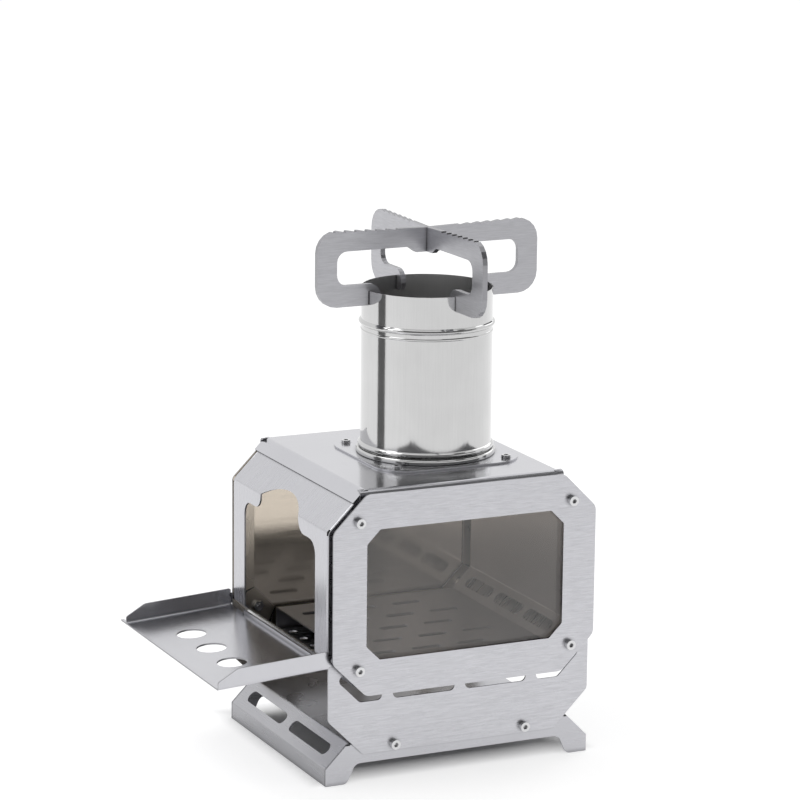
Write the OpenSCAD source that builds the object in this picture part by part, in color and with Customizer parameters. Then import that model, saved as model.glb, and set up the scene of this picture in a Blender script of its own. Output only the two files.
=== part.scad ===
// Small folded-sheet wood stove with a glass front, a feed tray that is also its door,
// a flue pipe and a pot cross that hooks onto the rim of the pipe.
// Origin: centre of the footprint, on the ground. X runs along the windows with the
// tray at -X, Y runs from the front window (-Y) to the rear window (+Y), Z is up.

/* [Body] */
// Length of the firebox along the windows
body_l = 160; // [152:1:200]
// Width over the outer faces of the two side plates
body_w = 137; // [116:1:180]
// Height of the octagonal firebox shell
body_h = 113.5; // [100:0.5:150]
// Open space between the stand and the underside of the shell
body_clear = 28.1; // [22:0.1:40]
// Leg of the 45 degree cut at each corner of the octagon
corner_cut = 21; // [17.5:0.5:25.5]
// Thickness of the folded steel sheet
sheet = 1; // [0.8:0.1:1.2]
// Outer radius of the folds
bend_r = 2; // [1.6:0.1:2.6]
// Width of the flanges that the side plates are screwed to
flange_w = 13; // [10:0.5:13]
// Gap between a ledge that carries the cover and the collar's nuts
ledge_gap = 2.8; // [1.5:0.1:4]
// Width of the notch on each side of a corner between two flanges
relief = 2; // [1.5:0.1:3]

/* [Mouth] */
// Width of the feed opening in the end wall
mouth_w = 100; // [80:1:110]
// Height of the sill above the underside of the shell
mouth_sill = 19; // [18:0.5:24]
// Height of the shoulders above the underside of the shell
mouth_shoulder = 83.5; // [70:0.5:86]
// Radius of the shoulders
mouth_shoulder_r = 8; // [6:0.5:10]
// Width of the neck where it crosses the fold
mouth_neck_w = 53; // [40:1:56]
// Radius of the dome that is cut into the slanted panel above the neck
mouth_dome_r = 41; // [36:1:48]

/* [Floor] */
// Diameter of the air holes in the floor
air_hole_d = 5; // [4:0.5:7]
// Pitch of the air holes along Y
air_hole_pitch = 15.3; // [12:0.1:16]
// Distance of the two rows of air holes from the ends of the floor
air_row_inset = 11; // [6:0.5:20]
// Bare end of a row of air holes
air_row_margin = 12; // [8:0.5:16]

/* [Side plates and windows] */
// Space between a side plate and the frame plate in front of it
gap_w = 5; // [5:0.5:7]
// Thickness of the glass
glass_t = 4; // [3:0.5:4.5]
// Bare margin between the octagon and the edge of the glass
glass_margin = 10; // [9.5:0.5:12]
// Width of the frame plate around the window
frame_margin = 20; // [18:0.5:24]
// Leg of the cut corners of the window
frame_cut = 8; // [5:0.5:12]
// Radius of the frame plate's outer corners
frame_r = 6; // [3:0.5:10]
// How much less the frame plate's corners are cut than the shell's
frame_ease = 1; // [0:0.5:2]
// Width of the side plate around its larger window
inner_margin = 13.5; // [12.5:0.5:15]
// Leg of the cut corners of the larger window
inner_cut = 12; // [10:0.5:14]
// Radius of the side plate's outer corners
skirt_r = 4; // [2:0.5:8]
// How far the skirt of the side plate laps over the side of the stand
skirt_lap = 6.9; // [6:0.1:10]
// Width of the air slits under the window
slit_h = 6; // [4:0.5:7]
// Distance of the slits' centre line outside the octagon
slit_out = 2.1; // [1:0.1:3]
// Width of the webs between the slits
slit_web = 6.5; // [5:0.5:9]
// Distance of the end of an inner slit from the end of the floor
slit_inset = 18; // [14:0.5:26]
// How far the outer slit climbs beside the slanted panel
slit_rise = 10.5; // [6:0.5:12]

/* [Screws] */
// Thread diameter of the screws
screw_d = 3; // [3:0.5:3]
// Head diameter of the cap screws
head_d = 5.5; // [5:0.1:6]
// Head height of the cap screws
head_h = 3; // [2:0.1:3.2]
// Across flats of the hexagon socket
socket_af = 2.5; // [2:0.1:3]
// Distance of the frame screws from the slanted edges of the octagon, along an edge
screw_margin = 9.4; // [8:0.2:11]
// Outer diameter of the spacer sleeves
sleeve_d = 5; // [4.5:0.1:5.5]
// Clearance of a screw in its hole, on the radius
hole_gap = 0.15; // [0.1:0.05:0.3]
// Across flats of the nuts
nut_af = 5.5; // [5:0.1:6]
// Height of the nuts
nut_h = 2.4; // [2:0.1:2.6]

/* [Stand] */
// Height of the flat top of the stand
stand_h = 23.4; // [22:0.2:27]
// How far the feet stand out past the shell at each end
stand_out = 0.8; // [0:0.1:4]
// Run and drop of the slanted panels
stand_slope = 13.6; // [11:0.2:15]
// Height of the arch under the long sides
arch_h = 11.2; // [8:0.2:13]
// Width of a foot on the ground
foot_w = 12.8; // [10:0.2:18]
// Outer radius of the stand's folds
stand_bend_r = 1.5; // [1.3:0.1:2]
// Bare end of the slanted panels beside the slots
stand_slot_margin = 12; // [8:0.5:20]
// Width of a slot in the slanted panels
stand_slot_w = 7.5; // [5:0.5:9]
// Bare web between the two slots
stand_slot_web = 9; // [6:0.5:14]
// Distance of the skirt screws from the ends of the shell
skirt_screw_inset = 40; // [30:1:50]

/* [Door tray] */
// Length of the tray from its hinge edge to its free edge
door_l = 64.9; // [58:0.1:66]
// Height of the side rims above the tray
rim_h = 9.6; // [8:0.1:9.6]
// Height of the rims at the free edge
nose_h = 3.6; // [2:0.1:5]
// Length over which the rims slope down to the free edge
nose_l = 12; // [8:0.5:18]
// Gap between a rim and the side plate it slides past
rim_gap = 0.3; // [0.2:0.1:0.6]
// Diameter of the round holes
door_hole_d = 17; // [12:0.5:20]
// Pitch of the round holes
door_hole_pitch = 30; // [24:1:34]
// Distance of the round holes from the free edge
door_hole_edge = 24.4; // [16:0.2:32]
// Height of the lip on the hinge edge
lip_h = 2.4; // [1.6:0.1:3]
// Length of the finger tab at the free corner
tab_l = 8; // [5:0.5:12]
// Distance of the hinge pins from the end wall
hinge_in = 3.5; // [3.2:0.1:4]
// Gap between the closed tray and the end wall
door_gap = 0.3; // [0.2:0.05:0.5]
// Diameter of the hinge pins
pin_d = 2.5; // [2:0.1:3]
// Running clearance of the pins in the tray's ears, on the radius
pin_gap = 0.05; // [0.02:0.01:0.08]
// Angle by which the open tray droops
droop = 3.5; // [1:0.5:5]

/* [Grate] */
// Height of the grate above the floor
grate_h = 13; // [12.5:0.5:15]
// Gap between the grate and the side plates
grate_side_gap = 4; // [3.5:0.5:8]
// Distance of the grate's open end from the end of the floor
grate_left_inset = 4.5; // [2:0.5:12]
// Distance of the grate's slanted end from the end of the floor
grate_right_inset = 1; // [0:0.5:6]
// Run and rise of the grate's slanted end
grate_slope = 12.5; // [10:0.5:13]
// Height of the liner's top edge above the floor
liner_h = 92; // [60:1:96]
// Length of a floor slot
grate_slot_l = 18; // [14:0.5:20]
// Width of a floor slot
grate_slot_w = 5; // [4:0.5:6]
// Pitch of the rows of floor slots along Y
grate_row_pitch = 21.6; // [18:0.2:24]
// Pitch of the floor slots in a row along X
grate_col_pitch = 28; // [26:0.5:30]
// Bare margin beside the slots
grate_margin = 10.5; // [8:0.5:14]
// Web between the slots in the slanted end
slope_slot_web = 5.5; // [4:0.5:8]
// Width of a slot in the slanted end
slope_slot_w = 7.5; // [5:0.5:8.5]

/* [Top cover] */
// Length of the cover's flaps along the slanted panels
flap_l = 8.9; // [5:0.1:12]
// Height of the lips that hang in the gap behind the frame plates
cover_lip_h = 8.5; // [6:0.1:9]
// How far the lips run on past the folds of the flaps
lip_over = 3; // [0:0.5:3]
// Outer radius of the lips' folds
cover_bend_r = 3; // [2:0.1:3.2]
// Gap between the cover and what it sits on
seat_gap = 0.1; // [0.05:0.05:0.2]

/* [Flue] */
// Distance of the flue from the middle of the body towards +X
flue_x = 10; // [0:1:16]
// Outer diameter of the pipe
pipe_d = 74.2; // [60:0.2:80]
// Wall of the pipe
pipe_t = 0.6; // [0.5:0.1:0.8]
// Height of the pipe
pipe_h = 91.5; // [78:0.5:112]
// How far the pressed beads stand out from the pipe
bead_out = 1.4; // [0.8:0.1:1.8]
// Height of the pressed beads
bead_h = 3.4; // [2.6:0.1:4]
// Distance of the upper bead from the rim
bead_drop = 19.5; // [15:0.5:24]
// Gap between the pipe and the spigot it is pushed over, on the radius
spigot_gap = 0.3; // [0.2:0.05:0.4]
// Height of the spigot above the collar's foot
spigot_h = 16; // [12:0.5:20]
// Height of the collar's foot ring
foot_ring_h = 3; // [2:0.2:4]
// Width of the collar plate outside the pipe
collar_margin = 6.4; // [6:0.1:8.5]
// Corner radius of the collar plate
collar_r = 19; // [12:0.5:19]
// Distance of the collar screws from the edges of the collar plate
collar_screw_inset = 9.5; // [8:0.1:10]
// Head height of the collar screws
button_h = 1.65; // [1.2:0.05:2]

/* [Pot cross] */
// Reach of an arm outside the pipe
arm_out = 31.8; // [28:0.1:44]
// Thickness of the cross plates
cross_t = 3; // [2:0.1:4]
// Height of the cross
cross_h = 43.2; // [40:0.1:50]
// How far the middle of the cross lies below the ends of its arms
top_dip = 1.7; // [0:0.1:3]
// Depth of the top bar
top_bar = 12; // [9:0.5:13]
// Depth of the bottom bar
low_bar = 12.1; // [10:0.1:13]
// Width of the outer upright
upright_w = 12.2; // [9:0.1:15]
// Outer corner radius
arm_r = 12; // [8:0.5:13]
// Inner corner radius of the arm's window
window_r = 6; // [3:0.5:7]
// Depth of the slits that straddle the pipe's rim
rim_slit = 8; // [5:0.5:9]
// Clearance of the pipe's wall in a slit, to each side
slit_gap = 0.35; // [0.3:0.05:0.6]
// Length of the hooks inside the pipe
hook_l = 7; // [6:0.5:10]
// Depth of the boss where the plates cross
boss_h = 15.4; // [13.5:0.1:16]
// Half width of the boss at its foot
boss_half = 8; // [6:0.5:10]
// Number of teeth on an arm
tooth_n = 7; // [4:1:8]
// Pitch of the teeth
tooth_pitch = 6.4; // [5:0.05:6.5]
// Distance of the innermost tooth from the flue axis
tooth_x0 = 18.7; // [16:0.1:24]
// Height of the teeth
tooth_h = 0.9; // [0.5:0.1:1.5]
// Clearance of the half-lap joint, to each side
lap_gap = 0.15; // [0.1:0.05:0.3]
// Angle by which the cross is turned on the pipe
cross_turn = 1.3; // [-10:0.1:10]

/* [Hidden] */

$fn = 48;
bend_steps = 5;
steel = [0.76, 0.77, 0.79];

half_l = body_l / 2;
body_lift = stand_h + body_clear;
floor_half = half_l - corner_cut;
side_y = body_w / 2;
shell_y = side_y - sheet;
shell_z0 = body_lift;
shell_z1 = body_lift + body_h;
floor_z = shell_z0 + sheet;
frame_y = side_y + gap_w;
skirt_z = stand_h - skirt_lap;
fold_z = shell_z1 - corner_cut;

// Frame screws, in the plane of the window
screw_inset = (corner_cut + screw_margin) / 2;
screw_x = half_l - screw_inset;
screw_z0 = shell_z0 + screw_inset;
screw_z1 = shell_z1 - screw_inset;
frame_screw_len = sheet * 3 + gap_w + nut_h + 1.6;
plate_screw_len = sheet * 2 + nut_h + 1.6;
hole_r = screw_d / 2 + hole_gap;

// The glass clears the sleeves, which carry it at its cut corners
glass_rest = 0.2;
glass_cut = 2 * (screw_inset - glass_margin) + (sleeve_d / 2 + glass_rest) * sqrt(2);

// Hinge of the tray: the pin lies hinge_in inside the wall, and as far above the tray plus the gap
hinge_up = hinge_in + door_gap;
hinge_x = -half_l + hinge_in;
hinge_z = shell_z0 + corner_cut - 0.1;
ear_r = 3;
stop_gap = 0.1;
tray_tail = (hinge_in + stop_gap + (hinge_up + sheet) * sin(droop)) / cos(droop);
rim_y = side_y + rim_gap;

// Rows of air holes
air_row_x = floor_half - air_row_inset;
air_hole_n = floor(2 * (shell_y - air_row_margin) / air_hole_pitch) + 1;

// Skirt screws, as close under the fold of the stand as their holes allow
skirt_screw_x = half_l - skirt_screw_inset;
skirt_screw_z = stand_h - stand_bend_r - screw_d / 2 - 0.2;

// Stand
stand_half = half_l + stand_out;
stand_slot_l = shell_y - stand_slot_margin - stand_slot_web / 2;
stand_top_half = stand_half - stand_slope;
seam = 0.3;

// Cover, collar and pipe
cover_z = shell_z1 + seat_gap;
cover_top = cover_z + sheet;
cover_y = side_y + seat_gap + sheet;
collar_top = cover_top + sheet;
pipe_r = pipe_d / 2;
pipe_in = pipe_r - pipe_t;
spigot_r = pipe_in - spigot_gap;
spigot_t = 0.8;
pipe_z0 = collar_top + foot_ring_h;
rim_z = pipe_z0 + pipe_h;
bead_z = rim_z - bead_drop;
flue_hole_r = spigot_r - spigot_t;

// Collar
collar_w = pipe_d + 2 * collar_margin;
collar_screw = collar_w / 2 - collar_screw_inset;
ledge_x = flue_x + collar_screw + nut_af / 2 / cos(30) + ledge_gap;

// Pot cross: the slits' ends sit on the rim of the pipe
arm_reach = pipe_r + arm_out;
hook_in = pipe_in - hook_l;
cross_z0 = rim_z - rim_slit;
cross_top = cross_z0 + cross_h;
top_tilt = atan(top_dip / arm_reach);
window_z0 = cross_z0 + low_bar;
window_z1 = cross_top - top_bar;

// ---- outlines ----

function unit(v) = v / norm(v);
function left_normal(a, b) = let(d = unit(b - a)) [-d[1], d[0]];
function turn(a, b, c) = cross(b - a, c - b);
function reversed(p) = [for (i = [len(p) - 1:-1:0]) p[i]];

// Arc of radius r in the corner b of the path a, b, c
function corner_arc(a, b, c, r) = let(
    u = unit(a - b),
    w = unit(c - b),
    half = acos(u * w) / 2,
    o = b + unit(u + w) * r / sin(half),
    s = b + u * r / tan(half) - o,
    e = b + w * r / tan(half) - o,
    a0 = atan2(s[1], s[0]),
    sweep = (atan2(e[1], e[0]) - a0 + 540) % 360 - 180)
    [for (i = [0:bend_steps]) let(t = a0 + sweep * i / bend_steps) o + r * [cos(t), sin(t)]];

// Path whose inner points are rounded: rl where it turns left, rr where it turns right
function folded(p, rl, rr) = [
    p[0],
    for (i = [1:len(p) - 2])
        each corner_arc(p[i - 1], p[i], p[i + 1], turn(p[i - 1], p[i], p[i + 1]) > 0 ? rl : rr),
    p[len(p) - 1]];

// The same path moved by t to its left
function shifted(p, t) = [for (i = [0:len(p) - 1]) let(
    na = left_normal(p[max(i - 1, 0)], p[max(i, 1)]),
    nb = left_normal(p[min(i, len(p) - 2)], p[min(i + 1, len(p) - 1)]))
    p[i] + t * (na + nb) / (1 + na * nb)];

// Closed outline with every corner rounded
function closed_round(p, r) = let(n = len(p))
    [for (i = [0:n - 1]) each corner_arc(p[(i + n - 1) % n], p[i], p[(i + 1) % n], r)];

// Closed outline from its right half, which may start or end on the axis
function with_mirror(half) = concat(
    half, [for (p = reversed(half)) if (p[0] > 0.01) [-p[0], p[1]]]);

function octagon(x, z0, z1, cut) = [
    [x - cut, z0], [x, z0 + cut], [x, z1 - cut], [x - cut, z1],
    [-x + cut, z1], [-x, z1 - cut], [-x, z0 + cut], [-x + cut, z0]];

// Cross-section of a sheet folded along a path, with its thickness to the left
module sheet_section(p, r, t = sheet) {
    polygon(concat(folded(p, r, r - t), reversed(folded(shifted(p, t), r - t, r))));
}

// Extrudes an outline in X and Z across the stove
module across(w) {
    rotate([90, 0, 0])
        linear_extrude(w, center = true)
            children();
}

// Plate in X and Z whose outer face is at y, facing side (-1 front, 1 rear)
module plate_at(side, y, t) {
    translate([0, side * (y - t / 2), 0])
        across(t)
            children();
}

// Something along Y that starts at distance y0 from the middle and runs inwards
module pin_along(side, x, z, y_out, len, r, fn = 32) {
    translate([x, side * y_out, z])
        rotate([side * 90, 0, 0])
            cylinder(h = len, r = r, $fn = fn);
}

module obround(l, w) {
    square([l - w, w], center = true);
    for (s = [-1, 1])
        translate([s * (l - w) / 2, 0])
            circle(d = w);
}

// Round-ended slot between two points
module slot_between(a, b, w) {
    translate((a + b) / 2)
        rotate(atan2(b[1] - a[1], b[0] - a[0]))
            obround(norm(b - a) + w, w);
}

module at_frame_screws() {
    for (x = [-screw_x, screw_x], z = [screw_z0, screw_z1])
        translate([x, z])
            children();
}

module cap_screw(len, hh, hd = head_d) {
    difference() {
        union() {
            cylinder(h = len, r = screw_d / 2, $fn = 24);
            translate([0, 0, -hh])
                cylinder(h = hh, r = hd / 2, $fn = 32);
        }
        translate([0, 0, -hh - 1])
            cylinder(h = hh * 0.6 + 1, d = socket_af / cos(30), $fn = 6);
    }
}

module nut() {
    difference() {
        cylinder(h = nut_h, d = nut_af / cos(30), $fn = 6);
        translate([0, 0, -1])
            cylinder(h = nut_h + 2, r = screw_d / 2 + 0.02, $fn = 24);
    }
}

// ---- firebox shell ----

shell_path = [
    [-ledge_x, shell_z1], [-floor_half, shell_z1],
    [-half_l, fold_z], [-half_l, shell_z0 + corner_cut], [-floor_half, shell_z0],
    [floor_half, shell_z0], [half_l, shell_z0 + corner_cut], [half_l, fold_z],
    [floor_half, shell_z1], [ledge_x, shell_z1]];

// Fold and flange along the panel from a to b, in the panel's own axes:
// x along the panel, y into the firebox, z towards the side plate
module shell_flange(a, b) {
    l = norm(b - a);
    mitre = flange_w * tan(22.5) + 0.5;
    intersection() {
        rotate([90, 0, 90])
            linear_extrude(l)
                sheet_section([[0, shell_y - bend_r - 1], [0, shell_y], [flange_w, shell_y]],
                              bend_r - sheet, -sheet);
        translate([0, 0, shell_y - bend_r - 1])
            linear_extrude(bend_r + 2)
                polygon([[relief, -1], [l - relief, -1], [l - relief, bend_r],
                         [l - mitre, flange_w + 1], [mitre, flange_w + 1], [relief, bend_r]]);
    }
}

// Places children, drawn in a panel's own axes, on the panel from a to b
module on_panel(a, b) {
    d = unit(b - a);
    multmatrix([[d[0], -d[1], 0, a[0]], [0, 0, 1, 0], [d[1], d[0], 0, a[1]], [0, 0, 0, 1]])
        children();
}

// Half outline of the mouth up to the fold, then the dome on the slanted panel
dome_sink = sqrt(pow(mouth_dome_r, 2) - pow(mouth_neck_w / 2, 2));
dome_half = asin(mouth_neck_w / 2 / mouth_dome_r);
dome_steps = 8;

module mouth() {
    half = concat(
        folded([[mouth_w / 2, shell_z0 + mouth_sill], [mouth_w / 2, shell_z0 + mouth_shoulder],
                [mouth_neck_w / 2 + 0.5, shell_z0 + mouth_shoulder], [mouth_neck_w / 2, fold_z]],
               mouth_shoulder_r, mouth_shoulder_r - 0.5),
        [for (i = [1:dome_steps]) let(t = dome_half * (1 - i / dome_steps))
            [mouth_dome_r * sin(t), fold_z + (mouth_dome_r * cos(t) - dome_sink) / sqrt(2)]]);
    polygon(with_mirror(half));
}

module shell() {
    color(steel)
        difference() {
            union() {
                across(2 * (shell_y - bend_r))
                    sheet_section(shell_path, bend_r);
                for (i = [1:len(shell_path) - 3], side = [-1, 1])
                    mirror([0, side < 0 ? 1 : 0, 0])
                        on_panel(shell_path[i], shell_path[i + 1])
                            shell_flange(shell_path[i], shell_path[i + 1]);
            }
            translate([-half_l - 5, 0, 0])
                rotate([90, 0, 90])
                    linear_extrude(corner_cut)
                        mouth();
            across(body_w)
                at_frame_screws()
                    circle(r = hole_r, $fn = 32);
            for (s = [-1, 1], i = [0:air_hole_n - 1])
                translate([s * air_row_x, (i - (air_hole_n - 1) / 2) * air_hole_pitch, shell_z0 - 1])
                    cylinder(h = sheet + 2, d = air_hole_d, $fn = 24);
        }
}

// ---- side plates, glass and frame plates ----

// Centre line of the slits: the octagon's lower corner, moved out by slit_out
slit_z = shell_z0 - slit_out;
slit_corner = floor_half + slit_out * tan(22.5);
slit_end = floor_half - slit_inset;

module slits() {
    for (s = [-1, 1]) {
        slot_between([s * (slit_web + slit_h) / 2, slit_z],
                     [s * (slit_end - slit_h / 2), slit_z], slit_h);
        slot_between([s * (slit_end + slit_web + slit_h / 2), slit_z],
                     [s * slit_corner, slit_z], slit_h);
        slot_between([s * slit_corner, slit_z],
                     [s * (slit_corner + slit_rise), slit_z + slit_rise], slit_h);
    }
}

// Octagon with the skirt; its top edge stays clear of the fold of the cover's lips
side_top_cut = corner_cut - (cover_bend_r - sheet);
side_outline = with_mirror([
    [floor_half, skirt_z], [half_l, skirt_z + corner_cut],
    [half_l, fold_z], [half_l - side_top_cut, fold_z + side_top_cut]]);

// The front plate has the larger window, the rear plate is closed
module side_plate(side) {
    color(steel)
        plate_at(side, side_y, sheet)
            difference() {
                polygon(closed_round(side_outline, skirt_r));
                if (side < 0)
                    polygon(octagon(half_l - inner_margin, shell_z0 + inner_margin,
                                    shell_z1 - inner_margin, inner_cut));
                at_frame_screws()
                    circle(r = hole_r, $fn = 32);
                for (x = [-skirt_screw_x, skirt_screw_x])
                    translate([x, skirt_screw_z])
                        circle(r = hole_r, $fn = 32);
                translate([hinge_x, hinge_z])
                    circle(r = pin_d / 2, $fn = 32);
                slits();
            }
}

module glass() {
    color([0.42, 0.38, 0.33, 0.45])
        plate_at(-1, side_y + (gap_w + glass_t) / 2, glass_t)
            polygon(octagon(half_l - glass_margin, shell_z0 + glass_margin,
                            shell_z1 - glass_margin, glass_cut));
}

module frame_plate() {
    color(steel)
        plate_at(-1, frame_y + sheet, sheet)
            difference() {
                polygon(closed_round(octagon(half_l, shell_z0, shell_z1, corner_cut - frame_ease),
                                     frame_r));
                polygon(closed_round(octagon(half_l - frame_margin, shell_z0 + frame_margin,
                                             shell_z1 - frame_margin, frame_cut), 1.5));
                at_frame_screws()
                    circle(r = hole_r, $fn = 32);
            }
}

module spacers() {
    color(steel)
        plate_at(-1, frame_y, gap_w)
            at_frame_screws()
                difference() {
                    circle(d = sleeve_d, $fn = 32);
                    circle(r = hole_r, $fn = 32);
                }
}

// Four cap screws whose heads lie at a distance y from the middle
module corner_screws(side, y, len) {
    color([0.86, 0.86, 0.88])
        for (x = [-screw_x, screw_x], z = [screw_z0, screw_z1])
            translate([x, side * y, z])
                rotate([side * 90, 0, 0])
                    cap_screw(len, head_h);
}

module corner_nuts(side) {
    color([0.86, 0.86, 0.88])
        for (x = [-screw_x, screw_x], z = [screw_z0, screw_z1])
            translate([x, side * (shell_y - sheet), z])
                rotate([side * 90, 0, 0])
                    nut();
}

// ---- stand ----

stand_path = [[-stand_half, 0], [-stand_half, stand_h - stand_slope], [-stand_top_half, stand_h],
              [stand_top_half, stand_h], [stand_half, stand_h - stand_slope], [stand_half, 0]];

// Long side of the stand below its fold: slanted shoulders, feet and arch
module stand_side() {
    z = stand_h - stand_bend_r;
    shoulder = stand_top_half + stand_bend_r;
    toe = stand_half - foot_w;
    ankle = toe - 5;
    arch = folded([[0, arch_h], [ankle, arch_h], [toe, 0], [stand_half, 0]], 4, 5);
    polygon(with_mirror(concat(arch, [[stand_half, stand_h - stand_slope], [shoulder, z]])));
}

module stand() {
    fold_half = stand_top_half - 1;
    color(steel)
        difference() {
            union() {
                across(2 * (shell_y - sheet - seam))
                    sheet_section(reversed(stand_path), stand_bend_r, sheet);
                for (side = [-1, 1]) {
                    plate_at(side, shell_y, sheet)
                        stand_side();
                    mirror([0, side < 0 ? 1 : 0, 0])
                        translate([-fold_half, 0, stand_h])
                            rotate([-90, 0, 0])
                                rotate([90, 0, 90])
                                    linear_extrude(2 * fold_half)
                                        sheet_section([[0, shell_y - 5], [0, shell_y], [5, shell_y]],
                                                      stand_bend_r - sheet, -sheet);
                }
            }
            for (s = [-1, 1], t = [-1, 1])
                translate([s * (stand_half + stand_top_half) / 2, 0, stand_h - stand_slope / 2])
                    rotate([0, s * 45, 0])
                        translate([0, t * (stand_slot_web + stand_slot_l) / 2, -5])
                            rotate([0, 0, 90])
                                linear_extrude(10)
                                    obround(stand_slot_l, stand_slot_w);
            for (side = [-1, 1], x = [-skirt_screw_x, skirt_screw_x])
                pin_along(side, x, skirt_screw_z, shell_y + 1, 4, screw_d / 2 + 0.02, 24);
        }
}

// Short screws through the skirt, threaded into the side of the stand
module skirt_screws(side) {
    color([0.86, 0.86, 0.88])
        for (x = [-skirt_screw_x, skirt_screw_x])
            translate([x, side * side_y, skirt_screw_z])
                rotate([side * 90, 0, 0])
                    cap_screw(sheet * 2 + 1.5, head_h);
}

// ---- door tray ----

// Side rim with its ear, in the tray's own axes: origin on the pins, x towards the firebox
module tray_rim() {
    top = rim_h - hinge_up;
    low = -hinge_up - sheet + bend_r;
    free = -tray_tail - door_l;
    heel = -tray_tail;
    difference() {
        union() {
            polygon(concat(
                [[heel, low]],
                corner_arc([heel, low], [heel, top], [free + nose_l, top], 1),
                corner_arc([heel, top], [free + nose_l, top], [free, nose_h - hinge_up], 6),
                corner_arc([free + nose_l, top], [free, nose_h - hinge_up], [free, low], 2),
                [[free, low]]));
            circle(r = ear_r);
            translate([heel - 1, -hinge_up + 1])
                square([tray_tail + 1, hinge_up - 1 + ear_r]);
        }
        circle(r = pin_d / 2 + pin_gap, $fn = 32);
    }
}

module door_body() {
    fold_y = rim_y + sheet;
    free = -tray_tail - door_l;
    lip_half = mouth_w / 2 - 2;
    difference() {
        union() {
            translate([free, bend_r - fold_y, -hinge_up - sheet])
                cube([door_l, 2 * (fold_y - bend_r), sheet]);
            for (side = [-1, 1])
                mirror([0, side < 0 ? 1 : 0, 0]) {
                    translate([free, 0, -hinge_up - sheet])
                        rotate([90, 0, 90])
                            linear_extrude(door_l)
                                polygon(concat(
                                    corner_arc([0, 0], [fold_y, 0], [fold_y, 9], bend_r),
                                    reversed(corner_arc([0, sheet], [rim_y, sheet], [rim_y, 9],
                                                        bend_r - sheet))));
                    plate_at(1, fold_y, sheet)
                        tray_rim();
                }
            // Lip on the hinge edge and finger tab at the free corner
            translate([-tray_tail - sheet, -lip_half, -hinge_up - sheet])
                cube([sheet, 2 * lip_half, sheet + lip_h]);
            translate([free, fold_y - bend_r, -hinge_up - sheet])
                cube([1.6, bend_r + tab_l, sheet]);
        }
        for (i = [-1, 0, 1])
            translate([free + door_hole_edge, i * door_hole_pitch, -hinge_up - 5])
                cylinder(h = 10, d = door_hole_d, $fn = 64);
    }
}

module door() {
    color(steel)
        translate([hinge_x, 0, hinge_z])
            rotate([0, -droop, 0])
                door_body();
}

// Flush in the side plates, with a flat head outside the tray's ears
module hinge_pins() {
    color([0.7, 0.7, 0.72])
        for (side = [-1, 1]) {
            pin_along(side, hinge_x, hinge_z, rim_y + sheet + 0.7, rim_gap + 2 * sheet + 0.7,
                      pin_d / 2);
            pin_along(side, hinge_x, hinge_z, rim_y + sheet + 0.7, 0.6, pin_d / 2 + 0.9);
        }
}

// ---- grate with its slotted end and liner ----

grate_z = floor_z + grate_h;
grate_half_w = shell_y - grate_side_gap;
grate_x0 = -floor_half + grate_left_inset;
grate_x1 = floor_half - grate_right_inset;
grate_rows = floor(2 * (grate_half_w - grate_margin) / grate_row_pitch) + 1;
slope_slot_l = (2 * (grate_half_w - grate_margin) - 2 * slope_slot_web) / 3;
grate_path = [[grate_x0, grate_z - sheet], [grate_x1, grate_z - sheet],
              [grate_x1 + grate_slope, grate_z - sheet + grate_slope],
              [grate_x1 + grate_slope, floor_z + liner_h]];

module grate() {
    row_y0 = -(grate_rows - 1) / 2 * grate_row_pitch;
    color([0.5, 0.5, 0.51])
        difference() {
            union() {
                across(2 * (grate_half_w - bend_r))
                    sheet_section(grate_path, bend_r);
                for (side = [-1, 1])
                    mirror([0, side < 0 ? 1 : 0, 0])
                        translate([grate_x0, 0, grate_z])
                            rotate([-90, 0, 0])
                                rotate([90, 0, 90])
                                    linear_extrude(grate_x1 - grate_x0 - 1)
                                        sheet_section([[0, grate_half_w - bend_r - 1],
                                                       [0, grate_half_w],
                                                       [grate_h - 0.05, grate_half_w]],
                                                      bend_r - sheet, -sheet);
            }
            for (j = [0:grate_rows - 1])
                for (x = [grate_x0 + 8 + (j % 2) * grate_col_pitch / 2 + grate_slot_l / 2
                          : grate_col_pitch : grate_x1 - 3 - grate_slot_l / 2])
                    translate([x, row_y0 + j * grate_row_pitch, grate_z - 2 * sheet])
                        linear_extrude(3 * sheet)
                            obround(grate_slot_l, grate_slot_w);
            for (j = [-1, 0, 1])
                translate([grate_x1 + grate_slope / 2, j * (slope_slot_l + slope_slot_web),
                           grate_z - sheet + grate_slope / 2])
                    rotate([0, -45, 0])
                        rotate([0, 0, 90])
                            linear_extrude(10, center = true)
                                obround(slope_slot_l, slope_slot_w);
        }
}

// ---- cover, collar and pipe ----

module top_cover() {
    knee = floor_half + seat_gap * tan(22.5);
    run = flap_l / sqrt(2);
    lip_half = knee + lip_over;
    color(steel)
        difference() {
            union() {
                across(2 * (cover_y - cover_bend_r))
                    sheet_section([[knee + run, cover_z - run], [knee, cover_z],
                                   [-knee, cover_z], [-knee - run, cover_z - run]],
                                  bend_r, -sheet);
                for (s = [0, 1])
                    mirror([s, 0, 0])
                        across(2 * side_y)
                            sheet_section([[knee + run, cover_z - run], [knee, cover_z],
                                           [knee - relief, cover_z]], bend_r, -sheet);
                for (side = [-1, 1])
                    mirror([0, side < 0 ? 1 : 0, 0])
                        translate([-lip_half, 0, cover_top])
                            rotate([-90, 0, 0])
                                rotate([90, 0, 90])
                                    linear_extrude(2 * lip_half)
                                        sheet_section([[0, cover_y - cover_bend_r - 1],
                                                       [0, cover_y],
                                                       [cover_lip_h, cover_y]],
                                                      cover_bend_r - sheet, -sheet);
            }
            translate([flue_x, 0, cover_z - 1])
                cylinder(h = sheet + 2, r = flue_hole_r, $fn = 96);
            at_collar_screws(cover_z - 1)
                cylinder(h = sheet + 2, r = hole_r, $fn = 32);
        }
}

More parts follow.
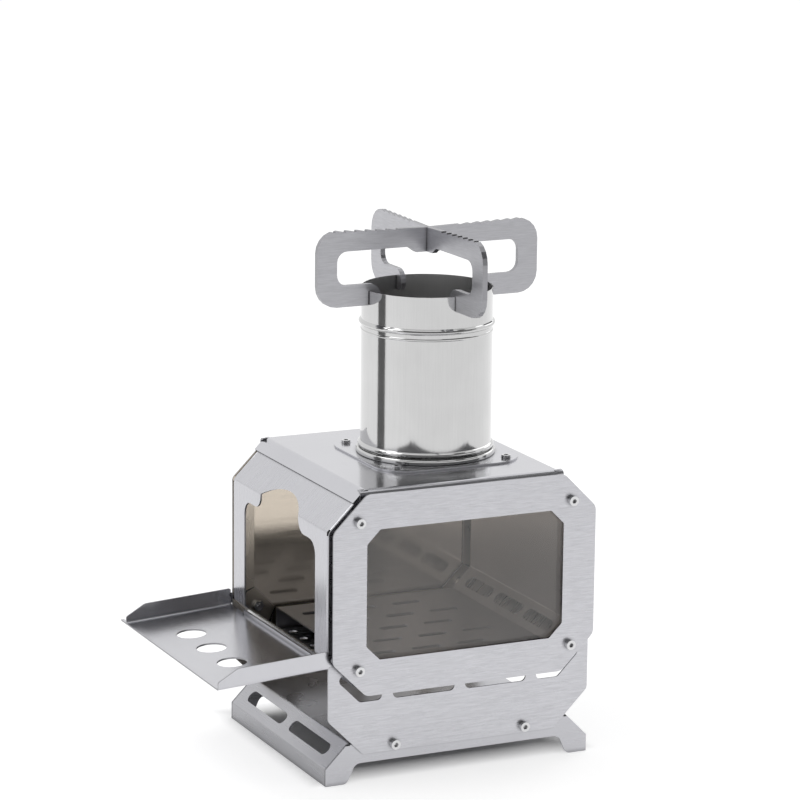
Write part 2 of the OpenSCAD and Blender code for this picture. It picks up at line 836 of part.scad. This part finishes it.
module at_collar_screws(z) {
    for (x = [-collar_screw, collar_screw], y = [-collar_screw, collar_screw])
        translate([flue_x + x, y, z])
            children();
}

module collar_plate() {
    w = collar_w / 2 - collar_r;
    color(steel)
        difference() {
            translate([flue_x, 0, cover_top])
                union() {
                    translate([-w, -collar_w / 2, 0])
                        cube([2 * w, collar_w, sheet]);
                    translate([-collar_w / 2, -w, 0])
                        cube([collar_w, 2 * w, sheet]);
                    for (x = [-w, w], y = [-w, w])
                        translate([x, y, 0])
                            cylinder(h = sheet, r = collar_r, $fn = 64);
                }
            translate([flue_x, 0, cover_top - 1])
                cylinder(h = sheet + 2, r = flue_hole_r, $fn = 96);
            at_collar_screws(cover_top - 1)
                cylinder(h = sheet + 2, r = hole_r, $fn = 32);
        }
}

// Foot ring on the plate with the spigot that the pipe is pushed over
module collar_ring() {
    out = pipe_r + 2.3;
    color([0.84, 0.84, 0.86])
        translate([flue_x, 0, collar_top])
            rotate_extrude($fn = 96)
                polygon(concat(
                    [[flue_hole_r, 0], [out - 0.6, 0]],
                    corner_arc([out - 1, 0], [out, 0], [out, foot_ring_h], 0.6),
                    corner_arc([out, 0], [out, foot_ring_h], [spigot_r, foot_ring_h], 1.2),
                    [[spigot_r, foot_ring_h], [spigot_r, foot_ring_h + spigot_h],
                     [flue_hole_r, foot_ring_h + spigot_h]]));
}

module collar_screws() {
    color([0.86, 0.86, 0.88])
        at_collar_screws(collar_top)
            rotate([180, 0, 0])
                cap_screw(2 * sheet + nut_h + 1, button_h);
}

module collar_nuts() {
    color([0.86, 0.86, 0.88])
        at_collar_screws(cover_z - nut_h)
            nut();
}

// Bead pressed out of the wall between z0 and z0 + h, as points on the outer or inner face
bead_n = 8;
function bead(r, z0, h, out) = [for (i = [0:bead_n]) let(t = i / bead_n)
    [r + out * pow(sin(180 * t), 0.8), z0 + h * t]];

module pipe() {
    outer = concat([[pipe_r, 0]], bead(pipe_r, 0.3, bead_h, bead_out),
                   bead(pipe_r, bead_z - bead_h - 1.8 - pipe_z0, 1.6, 0.35),
                   bead(pipe_r, bead_z - bead_h / 2 - pipe_z0, bead_h, bead_out),
                   [[pipe_r, pipe_h]]);
    inner = concat([[pipe_in, 0]], bead(pipe_in, 0.9, bead_h - 1.2, bead_out),
                   bead(pipe_in, bead_z - bead_h / 2 + 0.6 - pipe_z0, bead_h - 1.2, bead_out),
                   [[pipe_in, pipe_h]]);
    color([0.84, 0.84, 0.86])
        translate([flue_x, 0, pipe_z0])
            rotate_extrude($fn = 128)
                polygon(concat(outer, reversed(inner)));
}

// ---- pot cross ----

// One arm in x (distance from the flue axis) and z, with its window, slit, hook and teeth
module arm() {
    x1 = arm_reach;
    xi = x1 - upright_w;
    difference() {
        polygon(concat(
            // Top edge and outer end
            [[0, window_z1 + 1], [0, cross_top - top_dip]],
            corner_arc([0, cross_top - top_dip], [x1, cross_top], [x1, cross_z0], arm_r),
            corner_arc([x1, cross_top], [x1, cross_z0], [hook_in, cross_z0], arm_r),
            // Hook inside the pipe, then the window back to the boss
            corner_arc([x1, cross_z0], [hook_in, cross_z0], [hook_in, window_z0], 4),
            corner_arc([hook_in, cross_z0], [hook_in, window_z0], [xi, window_z0], 7.5),
            corner_arc([hook_in, window_z0], [xi, window_z0], [xi, window_z1], window_r),
            corner_arc([xi, window_z0], [xi, window_z1], [0, window_z1], window_r),
            corner_arc([xi, window_z1], [boss_half + 5, window_z1],
                       [boss_half, cross_top - boss_h], 4),
            corner_arc([boss_half + 5, window_z1], [boss_half, cross_top - boss_h],
                       [0, cross_top - boss_h], 1.6),
            [[0, cross_top - boss_h]]));
        // Slit that straddles the pipe's wall
        translate([pipe_in - slit_gap, cross_z0 - 1])
            square([pipe_t + 2 * slit_gap, rim_slit + 1]);
        // Saw-tooth notches between the teeth
        for (i = [0:tooth_n - 1])
            translate([0, cross_top - top_dip])
                rotate(top_tilt)
                    translate([tooth_x0 + i * tooth_pitch, 0])
                        polygon([[0.6, 0.01], [0.9, -tooth_h], [tooth_pitch - 0.6, 0.01]]);
    }
}

module cross_plate(upper) {
    lap_z = cross_top - (top_dip + boss_h) / 2;
    boss_z = cross_top - boss_h;
    w = cross_t + 2 * lap_gap;
    across(cross_t)
        difference() {
            union() {
                arm();
                mirror([1, 0])
                    arm();
            }
            translate([-w / 2, upper ? boss_z - 1 : lap_z])
                square([w, upper ? lap_z + lap_gap / 2 - boss_z + 1 : cross_top - lap_z + 1]);
        }
}

// Upper plate of the cross, notched from below, along the windows
module cross_plate_long() {
    color([0.7, 0.71, 0.73])
        translate([flue_x, 0, 0])
            rotate([0, 0, cross_turn])
                cross_plate(true);
}

// Lower plate of the cross, notched from above
module cross_plate_short() {
    color([0.7, 0.71, 0.73])
        translate([flue_x, 0, 0])
            rotate([0, 0, cross_turn + 90])
                cross_plate(false);
}

shell();
stand();
side_plate(-1);  // side_plate_front
side_plate(1);  // side_plate_rear
glass();
frame_plate();
spacers();
corner_screws(-1, frame_y + sheet, frame_screw_len);  // frame_screws
corner_nuts(-1);  // frame_nuts
corner_screws(1, side_y, plate_screw_len);  // plate_screws
corner_nuts(1);  // plate_nuts
skirt_screws(-1);  // skirt_screws_front
skirt_screws(1);  // skirt_screws_rear
grate();
hinge_pins();
door();
top_cover();
collar_plate();
collar_ring();
collar_screws();
collar_nuts();
pipe();
cross_plate_long();
cross_plate_short();
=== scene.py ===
import math

import bpy
from mathutils import Matrix, Vector
from mathutils.bvhtree import BVHTree

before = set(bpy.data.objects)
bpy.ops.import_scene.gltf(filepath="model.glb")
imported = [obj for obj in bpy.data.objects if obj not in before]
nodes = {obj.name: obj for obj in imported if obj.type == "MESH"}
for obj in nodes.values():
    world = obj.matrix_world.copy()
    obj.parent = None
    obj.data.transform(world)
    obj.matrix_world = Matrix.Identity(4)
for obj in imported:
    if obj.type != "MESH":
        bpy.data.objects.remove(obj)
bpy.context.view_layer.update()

# ---- Viewpoint ----
# A long lens looks down on the stove a little, from its front left.
# Everything is in metres, with the stove standing on the ground at the origin.
eye = Vector((-0.8151, -1.7128, 0.6187))
turn_left = math.radians(25.28)
look_down = math.radians(12.54)
lean = math.radians(0.60)

backwards = Vector((-math.sin(turn_left) * math.cos(look_down),
                    -math.cos(turn_left) * math.cos(look_down),
                    math.sin(look_down)))
level = Vector((math.cos(turn_left), -math.sin(turn_left), 0))
upright = backwards.cross(level)
rightwards = math.cos(lean) * level + math.sin(lean) * upright
upwards = math.cos(lean) * upright - math.sin(lean) * level

lens = bpy.data.cameras.new("viewpoint")
lens.sensor_width = 36
lens.lens = 155.3
lens.clip_start = 0.05
lens.clip_end = 30
viewpoint = bpy.data.objects.new("viewpoint", lens)
bpy.context.scene.collection.objects.link(viewpoint)
viewpoint.matrix_world = Matrix((
    (rightwards.x, upwards.x, backwards.x, eye.x),
    (rightwards.y, upwards.y, backwards.y, eye.y),
    (rightwards.z, upwards.z, backwards.z, eye.z),
    (0, 0, 0, 1)))
bpy.context.scene.camera = viewpoint

# ---- Stand ----
# Folded base with a slotted slope at each end and arched long sides that end in four toes.
# Cut and bent from one blank of stainless sheet; its long sides are screwed to the skirts.
sheet_thickness = 0.001


def wire(tree, source, target):
    """Joins an output of one node to an input of another."""
    tree.links.new(source, target)


def reckon(tree, operation, *values):
    """Output of a Math node that works on sockets or plain numbers."""
    step = tree.nodes.new("ShaderNodeMath")
    step.operation = operation
    for slot, value in zip(step.inputs, values):
        if isinstance(value, bpy.types.NodeSocket):
            wire(tree, value, slot)
        else:
            slot.default_value = value
    return step.outputs["Value"]


def rescale(tree, value, low, high, to_low, to_high):
    """Moves a value from between `low` and `high` to between `to_low` and `to_high`."""
    scale = tree.nodes.new("ShaderNodeMapRange")
    scale.inputs["From Min"].default_value = low
    scale.inputs["From Max"].default_value = high
    scale.inputs["To Min"].default_value = to_low
    scale.inputs["To Max"].default_value = to_high
    wire(tree, value, scale.inputs["Value"])
    return scale.outputs["Result"]


def even_noise(tree, place, per_metre, detail):
    """Noise that is alike in all directions."""
    blotches = tree.nodes.new("ShaderNodeTexNoise")
    blotches.inputs["Scale"].default_value = per_metre
    blotches.inputs["Detail"].default_value = detail
    wire(tree, place.outputs["Object"], blotches.inputs["Vector"])
    return blotches.outputs["Fac"]


def drawn_noise(tree, place, fine, run, across, detail):
    """Noise drawn out into lines: `fine` per metre on the axes in `across`, `run` on the rest."""
    stretch = tree.nodes.new("ShaderNodeMapping")
    stretch.inputs["Scale"].default_value = [fine if axis in across else run for axis in "XYZ"]
    wire(tree, place.outputs["Object"], stretch.inputs["Vector"])
    lines = tree.nodes.new("ShaderNodeTexNoise")
    lines.inputs["Scale"].default_value = 1.0
    lines.inputs["Detail"].default_value = detail
    lines.inputs["Roughness"].default_value = 0.6
    wire(tree, stretch.outputs["Vector"], lines.inputs["Vector"])
    return lines.outputs["Fac"]


def colour_between(tree, value, low, high, start=0.0, end=1.0):
    """Colour that goes from `low` to `high` as the value goes from `start` to `end`."""
    ramp = tree.nodes.new("ShaderNodeValToRGB")
    first, last = ramp.color_ramp.elements
    first.position, last.position = start, end
    first.color = (*low, 1)
    last.color = (*high, 1)
    wire(tree, value, ramp.inputs["Fac"])
    return ramp.outputs["Color"]


def shaded(tree, colour, share):
    """A colour multiplied by one value."""
    shade = tree.nodes.new("ShaderNodeVectorMath")
    shade.operation = "SCALE"
    wire(tree, colour, shade.inputs["Vector"])
    wire(tree, share, shade.inputs["Scale"])
    return shade.outputs["Vector"]


def painted_corner_shade(tree, colour, reach, deepest):
    """Darkens a colour where two surfaces meet: painted shade in the corners."""
    corner = tree.nodes.new("ShaderNodeAmbientOcclusion")
    corner.inputs["Distance"].default_value = reach
    corner.samples = 8
    return shaded(tree, colour, rescale(tree, corner.outputs["AO"], 0.35, 0.85, deepest, 1.0))


def ripple(tree, body, height, strength, distance):
    """Raises the surface a little with `height`."""
    relief = tree.nodes.new("ShaderNodeBump")
    relief.inputs["Strength"].default_value = strength
    relief.inputs["Distance"].default_value = distance
    wire(tree, height, relief.inputs["Height"])
    wire(tree, relief.outputs["Normal"], body.inputs["Normal"])


def new_finish(name, metallic):
    """Material with its node tree, its shader, and the node that tells the place on a piece."""
    finish = bpy.data.materials.new(name)
    finish.use_nodes = True
    tree = finish.node_tree
    body = tree.nodes["Principled BSDF"]
    body.inputs["Metallic"].default_value = metallic
    return finish, tree, body, tree.nodes.new("ShaderNodeTexCoord")


def sheet_steel(name, grey, across, rough=(0.25, 0.32), lines=0.04, cloud=0.02, depth=0.0,
                stretch=0.5):
    """Brushed stainless sheet. The brush lines lie across the axes named in `across`."""
    steel, tree, body, place = new_finish(name, metallic=1.0)
    body.inputs["Anisotropic"].default_value = stretch

    # Hair-fine scratches, longer and wider bands of the belt, and the sheet's own cloudiness
    hair = drawn_noise(tree, place, fine=1500.0, run=110.0, across=across, detail=3.0)
    band = drawn_noise(tree, place, fine=600.0, run=22.0, across=across, detail=2.0)
    clouds = even_noise(tree, place, per_metre=26.0, detail=3.0)
    band_share = 0.35
    cloud_share = cloud / lines
    brush = reckon(tree, "MULTIPLY_ADD", band, band_share, hair)
    tone = reckon(tree, "MULTIPLY_ADD", clouds, cloud_share, brush)
    middle = 0.5 * (1 + band_share + cloud_share)
    swing = 0.35
    spread = rescale(tree, tone, middle - swing, middle + swing, 0.0, 1.0)
    steel_tint = (1.0, 1.0, 1.05)
    colour = colour_between(tree, spread,
                            [grey * (1 - lines) * channel for channel in steel_tint],
                            [grey * (1 + lines) * channel for channel in steel_tint])
    # Painted shade where two surfaces meet
    wire(tree, painted_corner_shade(tree, colour, reach=0.004, deepest=0.45),
         body.inputs["Base Color"])
    wire(tree, rescale(tree, band, 0.3, 0.7, *rough), body.inputs["Roughness"])

    # Light spreads across the brush lines, which lie a little askew, so that no face has
    # them square to itself
    brushing = tree.nodes.new("ShaderNodeCombineXYZ")
    for axis, skew in zip("XYZ", (0.04, 0.03, 0.05)):
        brushing.inputs[axis].default_value = 1.0 if axis in across else skew
    wire(tree, brushing.outputs["Vector"], body.inputs["Tangent"])
    if depth:
        ripple(tree, body, hair, strength=depth, distance=0.0001)
    return steel


def dress(finish, *names):
    """Gives CAD nodes their finish, and shades their bends smoothly between crisp edges."""
    for name in names:
        piece = nodes[name].data
        piece.materials.clear()
        piece.materials.append(finish)
        piece.shade_smooth()
        piece.set_sharp_from_angle(angle=math.radians(24))


def finish_cut_edges(finish, thickness, *names):
    """Gives `finish` to the faces that the laser cut: those with more metal behind them."""
    just_inside = 1e-5
    for name in names:
        piece = nodes[name].data
        piece.materials.append(finish)
        solid = BVHTree.FromPolygons([corner.co for corner in piece.vertices],
                                     [list(face.vertices) for face in piece.polygons])
        for face in piece.polygons:
            start = face.center - face.normal * just_inside
            behind = solid.ray_cast(start, -face.normal)[3]
            if behind is not None and behind > 1.5 * thickness:
                face.material_index = 1


def paint_shade_on_turned_faces(finish, axis, limit, shade_factor):
    """Painted shade: tone times `shade_factor` on faces turned beyond `limit` to either side."""
    tree = finish.node_tree
    colour = tree.nodes["Principled BSDF"].inputs["Base Color"]
    place = tree.nodes.new("ShaderNodeTexCoord")
    facing = tree.nodes.new("ShaderNodeSeparateXYZ")
    wire(tree, place.outputs["Normal"], facing.inputs["Vector"])
    turned = reckon(tree, "ABSOLUTE", facing.outputs[axis])
    beyond = reckon(tree, "GREATER_THAN", turned, limit)
    tone = rescale(tree, beyond, 0.0, 1.0, 1.0, shade_factor)
    wire(tree, shaded(tree, colour.links[0].from_socket, tone), colour)


cut_steel = sheet_steel("cut_edge", 0.32, "XY", rough=(0.34, 0.44), stretch=0.0)
stand_sheet = sheet_steel("stand_sheet", 0.54, "Z", stretch=0.3)
# Painted shade: the slopes darker than the long sides, the upright strips below them more so
paint_shade_on_turned_faces(stand_sheet, "X", limit=0.3, shade_factor=0.80)
paint_shade_on_turned_faces(stand_sheet, "X", limit=0.9, shade_factor=0.78)
dress(stand_sheet, "stand")
finish_cut_edges(cut_steel, sheet_thickness, "stand")

# ---- Firebox shell ----
# Octagonal hull folded from one blank, brushed round the octagon, with mitred flanges for the
# side plates, the feed mouth in its left wall and two rows of air holes in its floor.
shell_sheet = sheet_steel("shell_sheet", 0.54, "Y", rough=(0.26, 0.30), lines=0.06)
dress(shell_sheet, "shell")
finish_cut_edges(cut_steel, sheet_thickness, "shell")

# ---- Grate ----
# Slotted plate on two side flanges above the floor, with a slotted slope and a liner that
# shields the end wall. Plain sheet that the fire has made a little duller.
dress(sheet_steel("grate_sheet", 0.64, "Y", rough=(0.34, 0.38), lines=0.03, cloud=0.03,
                  stretch=0.0), "grate")

# ---- Side plates ----
# Flat brushed plates that close the sides, with air slits below and a skirt down over the
# stand. The front one has the window; the rear one is closed, with warm light painted inside.
warm_light_tint = (1.24, 1.15, 0.96)
middle_of_rear_plate = 0.068
start_of_rear_flanges = 0.0662


def paint_warm_light(finish, test, depth):
    """Paints warm light: tone times `warm_light_tint` where Y passes the test against `depth`."""
    tree = finish.node_tree
    colour = tree.nodes["Principled BSDF"].inputs["Base Color"]
    plain = colour.links[0].from_socket
    place = tree.nodes.new("ShaderNodeTexCoord")
    spot = tree.nodes.new("ShaderNodeSeparateXYZ")
    wire(tree, place.outputs["Object"], spot.inputs["Vector"])
    tinted = tree.nodes.new("ShaderNodeVectorMath")
    tinted.operation = "MULTIPLY"
    tinted.inputs[1].default_value = warm_light_tint
    wire(tree, plain, tinted.inputs[0])
    chosen = tree.nodes.new("ShaderNodeMix")
    chosen.data_type = "RGBA"
    wire(tree, reckon(tree, test, spot.outputs["Y"], depth), chosen.inputs["Factor"])
    wire(tree, plain, chosen.inputs["A"])
    wire(tree, tinted.outputs["Vector"], chosen.inputs["B"])
    wire(tree, chosen.outputs["Result"], colour)


rear_sheet = sheet_steel("rear_sheet", 0.56, "Z", rough=(0.09, 0.14), lines=0.05)
# Warm light painted on the inside of the rear plate and on the shell's rear flanges
paint_warm_light(rear_sheet, "LESS_THAN", middle_of_rear_plate)
paint_warm_light(shell_sheet, "GREATER_THAN", start_of_rear_flanges)
dress(rear_sheet, "side_plate_rear")
dress(sheet_steel("side_plate_sheet", 0.56, "Z", lines=0.15, depth=0.012), "side_plate_front")
finish_cut_edges(cut_steel, sheet_thickness, "side_plate_front", "side_plate_rear")

# ---- Window pane ----
# 4 mm heat-resistant ceramic glass, faintly amber in the mass. It is gripped between the
# front side plate and the frame plate, and stands on the two lower sleeves.
pane, tree, clear, place = new_finish("amber_pane", metallic=0.0)
clear.inputs["Roughness"].default_value = 0.0
clear.inputs["IOR"].default_value = 1.54
clear.inputs["Transmission Weight"].default_value = 1.0
mass = even_noise(tree, place, per_metre=30.0, detail=3.0)
wire(tree, colour_between(tree, mass, (0.90, 0.86, 0.83), (0.95, 0.91, 0.88), 0.3, 0.7),
     clear.inputs["Base Color"])
dress(pane, "glass")

# ---- Frame plate ----
# Octagonal brushed plate round the visible window. It stands 5 mm off the side plate on four
# turned sleeves and is held by four cap screws.
dress(sheet_steel("frame_sheet", 0.56, "Z", lines=0.16, depth=0.012), "frame_plate")
finish_cut_edges(cut_steel, sheet_thickness, "frame_plate")


# ---- Sleeves, screws, nuts and pins ----
# Turned stainless hardware: socket cap screws at the corners and the skirt, button screws on
# the collar, hexagon nuts inside, and flat-headed hinge pins riveted into the side plates.
def turned_steel(name, grey, rough):
    """Bright turned steel with a faint tool pattern."""
    bright, tree, body, place = new_finish(name, metallic=1.0)
    tooled = even_noise(tree, place, per_metre=3000.0, detail=3.0)
    colour = colour_between(tree, tooled, (grey * 0.90, grey * 0.90, grey * 0.91),
                            (grey * 1.08, grey * 1.08, grey * 1.10), 0.3, 0.7)
    # Painted shade where two surfaces meet
    wire(tree, painted_corner_shade(tree, colour, reach=0.001, deepest=0.6), body.inputs["Base Color"])
    wire(tree, rescale(tree, tooled, 0.0, 1.0, rough * 0.8, rough * 1.25),
         body.inputs["Roughness"])
    return bright


dress(turned_steel("turned_hardware", 0.66, rough=0.16),
      "spacers", "frame_screws", "frame_nuts", "plate_screws", "plate_nuts",
      "skirt_screws_front", "skirt_screws_rear", "hinge_pins", "collar_screws", "collar_nuts")

# ---- Door tray ----
# Folded tray that feeds the sticks and folds up to shut the mouth. It hangs on two pins and
# is smoother than the plates, with a soft sheen.
dress(sheet_steel("tray_sheet", 0.58, "X", rough=(0.22, 0.26), lines=0.03, stretch=0.0), "door")
finish_cut_edges(cut_steel, sheet_thickness, "door")

# ---- Top cover and collar plate ----
# The cover lies on the shell's ledges and hooks its lips over the side plates, the front one
# behind the frame plate. The collar plate with its four button screws carries the flue, and
# its edges carry a painted highlight.
dress(sheet_steel("cover_sheet", 0.57, "YZ", rough=(0.13, 0.19), lines=0.03), "top_cover")
finish_cut_edges(cut_steel, sheet_thickness, "top_cover")
dress(sheet_steel("collar_sheet", 0.57, "YZ", rough=(0.12, 0.18), lines=0.025), "collar_plate")
# Painted highlight: the collar plate's cut edges are given a bright tone
finish_cut_edges(sheet_steel("painted_highlight_edge", 0.86, "X", rough=(0.3, 0.4), stretch=0.0),
                 sheet_thickness, "collar_plate")

# ---- Flue pipe and its foot ring ----
# Thin-walled tube, rolled and polished along its length, duller inside, with a bead pressed
# out near each end. It is pushed over the spigot of the turned foot ring.
flue_axis = (0.010, 0, 0)


def polished_tube(name, grey, rough, dull):
    """Polished steel round the flue's axis: `rough` outside and `dull` inside."""
    tube, tree, body, place = new_finish(name, metallic=1.0)
    lines = drawn_noise(tree, place, fine=1500.0, run=30.0, across="XY", detail=3.0)
    clouds = even_noise(tree, place, per_metre=55.0, detail=4.0)
    tone = rescale(tree, reckon(tree, "ADD", lines, clouds), 0.7, 1.3, 0.0, 1.0)
    colour = colour_between(tree, tone, [grey * 0.96] * 3, [grey * 1.04] * 3)
    # Painted shade where two surfaces meet
    wire(tree, painted_corner_shade(tree, colour, reach=0.002, deepest=0.6), body.inputs["Base Color"])

    # The wall faces its own axis on the inside
    from_axis = tree.nodes.new("ShaderNodeVectorMath")
    from_axis.operation = "SUBTRACT"
    from_axis.inputs[1].default_value = flue_axis
    wire(tree, place.outputs["Object"], from_axis.inputs[0])
    level_part = tree.nodes.new("ShaderNodeVectorMath")
    level_part.operation = "MULTIPLY"
    level_part.inputs[1].default_value = (1, 1, 0)
    wire(tree, from_axis.outputs["Vector"], level_part.inputs[0])
    outwards = tree.nodes.new("ShaderNodeVectorMath")
    outwards.operation = "DOT_PRODUCT"
    wire(tree, level_part.outputs["Vector"], outwards.inputs[0])
    wire(tree, place.outputs["Normal"], outwards.inputs[1])
    inside = reckon(tree, "LESS_THAN", outwards.outputs["Value"], 0.0)
    polish = rescale(tree, inside, 0.0, 1.0, rough, dull)
    smear = 0.06
    wire(tree, reckon(tree, "MULTIPLY_ADD", clouds, smear, polish), body.inputs["Roughness"])

    waves = even_noise(tree, place, per_metre=60.0, detail=1.0)
    ripple(tree, body, waves, strength=0.12, distance=0.0002)
    return tube


dress(polished_tube("flue_tube", 0.57, rough=0.07, dull=0.34), "pipe", "collar_ring")

# ---- Pot cross ----
# Two satin plates, laser cut and half-lapped, that hook over the rim of the pipe and carry
# the pot on their toothed top edges.
cross_thickness = 0.003
dress(sheet_steel("cross_plate", 0.47, "Z", rough=(0.32, 0.40), lines=0.15, stretch=0.3),
      "cross_plate_long", "cross_plate_short")
finish_cut_edges(sheet_steel("cross_edge", 0.34, "Z", rough=(0.3, 0.4), stretch=0.0),
                 cross_thickness, "cross_plate_long", "cross_plate_short")

# ---- Ground ----
# Plain pale floor that keeps the stove's soft shadow and is white around it, as the
# surroundings are, also where metal mirrors it. No light reaches it under the stand.
floor_half = 12.0
stand_shade = (("X", 0.0, 0.078), ("Y", 0.012, 0.066))
shade_edge = 0.012
floor_glow = 0.61


def matt_object(name, corners, faces, finish):
    """Object of plain faces that stands in the scene but isn't part of the stove."""
    surface = bpy.data.meshes.new(name)
    surface.from_pydata(corners, [], faces)
    surface.materials.append(finish)
    thing = bpy.data.objects.new(name, surface)
    bpy.context.scene.collection.objects.link(thing)
    return thing


def seen_or_mirrored(tree):
    """1 for rays that show a picture: straight from the camera, mirrored or through glass."""
    rays = tree.nodes.new("ShaderNodeLightPath").outputs
    mirrored = reckon(tree, "MAXIMUM", rays["Is Glossy Ray"], rays["Is Transmission Ray"])
    return reckon(tree, "MAXIMUM", rays["Is Camera Ray"], mirrored)


paper, tree, matt, place = new_finish("pale_floor", metallic=0.0)
matt.inputs["Base Color"].default_value = (0.8, 0.8, 0.8, 1)
matt.inputs["Roughness"].default_value = 0.9
matt.inputs["Specular IOR Level"].default_value = 0.0
spot = tree.nodes.new("ShaderNodeSeparateXYZ")
wire(tree, place.outputs["Object"], spot.inputs["Vector"])
beyond = []
for axis, middle, half_size in stand_shade:
    away = reckon(tree, "ABSOLUTE", reckon(tree, "SUBTRACT", spot.outputs[axis], middle))
    beyond.append(rescale(tree, away, half_size - shade_edge, half_size + shade_edge, 0.0, 1.0))
lit = reckon(tree, "MULTIPLY", reckon(tree, "MAXIMUM", *beyond), seen_or_mirrored(tree))
matt.inputs["Emission Color"].default_value = (1, 1, 1, 1)
wire(tree, reckon(tree, "MULTIPLY", lit, floor_glow), matt.inputs["Emission Strength"])
floor = matt_object("floor", [(-floor_half, -floor_half, 0), (floor_half, -floor_half, 0),
                              (floor_half, floor_half, 0), (-floor_half, floor_half, 0)],
                    [(0, 1, 2, 3)], paper)

# ---- Studio ----
# White surroundings, with a large soft lamp high on the left and a weaker one on the right,
# both a little behind the stove. Two dark cloths stand outside the view, so that the metal
# has something to mirror.
world = bpy.data.worlds.new("studio")
bpy.context.scene.world = world
world.use_nodes = True
tree = world.node_tree
for old in list(tree.nodes):
    tree.nodes.remove(old)
out = tree.nodes.new("ShaderNodeOutputWorld")
blend = tree.nodes.new("ShaderNodeMixShader")
wire(tree, seen_or_mirrored(tree), blend.inputs["Fac"])
for slot, strength in ((1, 0.5), (2, 1.0)):
    sky = tree.nodes.new("ShaderNodeBackground")
    sky.inputs["Color"].default_value = (1, 1, 1, 1)
    sky.inputs["Strength"].default_value = strength
    wire(tree, sky.outputs["Background"], blend.inputs[slot])
wire(tree, blend.outputs["Shader"], out.inputs["Surface"])


def soft_lamp(name, place, aim, width, watts):
    """Square soft box at `place` that shines at `aim`."""
    light = bpy.data.lights.new(name, "AREA")
    light.shape = "SQUARE"
    light.size = width
    light.energy = watts
    lamp = bpy.data.objects.new(name, light)
    bpy.context.scene.collection.objects.link(lamp)
    lamp.location = place
    lamp.rotation_mode = "QUATERNION"
    lamp.rotation_quaternion = (Vector(aim) - Vector(place)).to_track_quat("-Z", "Y")


middle_of_stove = (0, 0, 0.12)
soft_lamp("key_box", (-1.1, 0.5, 1.6), middle_of_stove, width=1.0, watts=6)
soft_lamp("fill_box", (1.3, 0.9, 1.1), middle_of_stove, width=1.0, watts=3)


def dark_cloth(name, shade, bearings, distance, rises):
    """Cloth round the stove between two bearings (degrees right of its front) and two rises."""
    across_steps, up_steps = 12, 8
    row = across_steps + 1
    corners, faces = [], []
    for j in range(up_steps + 1):
        rise = math.radians(rises[0] + (rises[1] - rises[0]) * j / up_steps)
        for i in range(across_steps + 1):
            turn = math.radians(bearings[0] + (bearings[1] - bearings[0]) * i / across_steps)
            corners.append((distance * math.cos(rise) * math.sin(turn),
                            -distance * math.cos(rise) * math.cos(turn),
                            distance * math.sin(rise)))
    for j in range(up_steps):
        for i in range(across_steps):
            k = j * row + i
            faces.append((k, k + 1, k + 1 + row, k + row))
    felt = bpy.data.materials.new(name + "_felt")
    felt.use_nodes = True
    fibre = felt.node_tree.nodes["Principled BSDF"]
    fibre.inputs["Base Color"].default_value = (shade, shade, shade, 1)
    fibre.inputs["Roughness"].default_value = 1.0
    fibre.inputs["Specular IOR Level"].default_value = 0.0
    cloth = matt_object(name, corners, faces, felt)
    cloth.visible_camera = False
    cloth.visible_diffuse = False
    cloth.visible_shadow = False


dark_cloth("narrow_cloth", 0.30, (-117.5, -100.5), 0.62, (-50, 60))
dark_cloth("front_cloth", 0.36, (-75, 75), 2.6, (11, 62))

bpy.context.scene.view_settings.view_transform = "Standard"
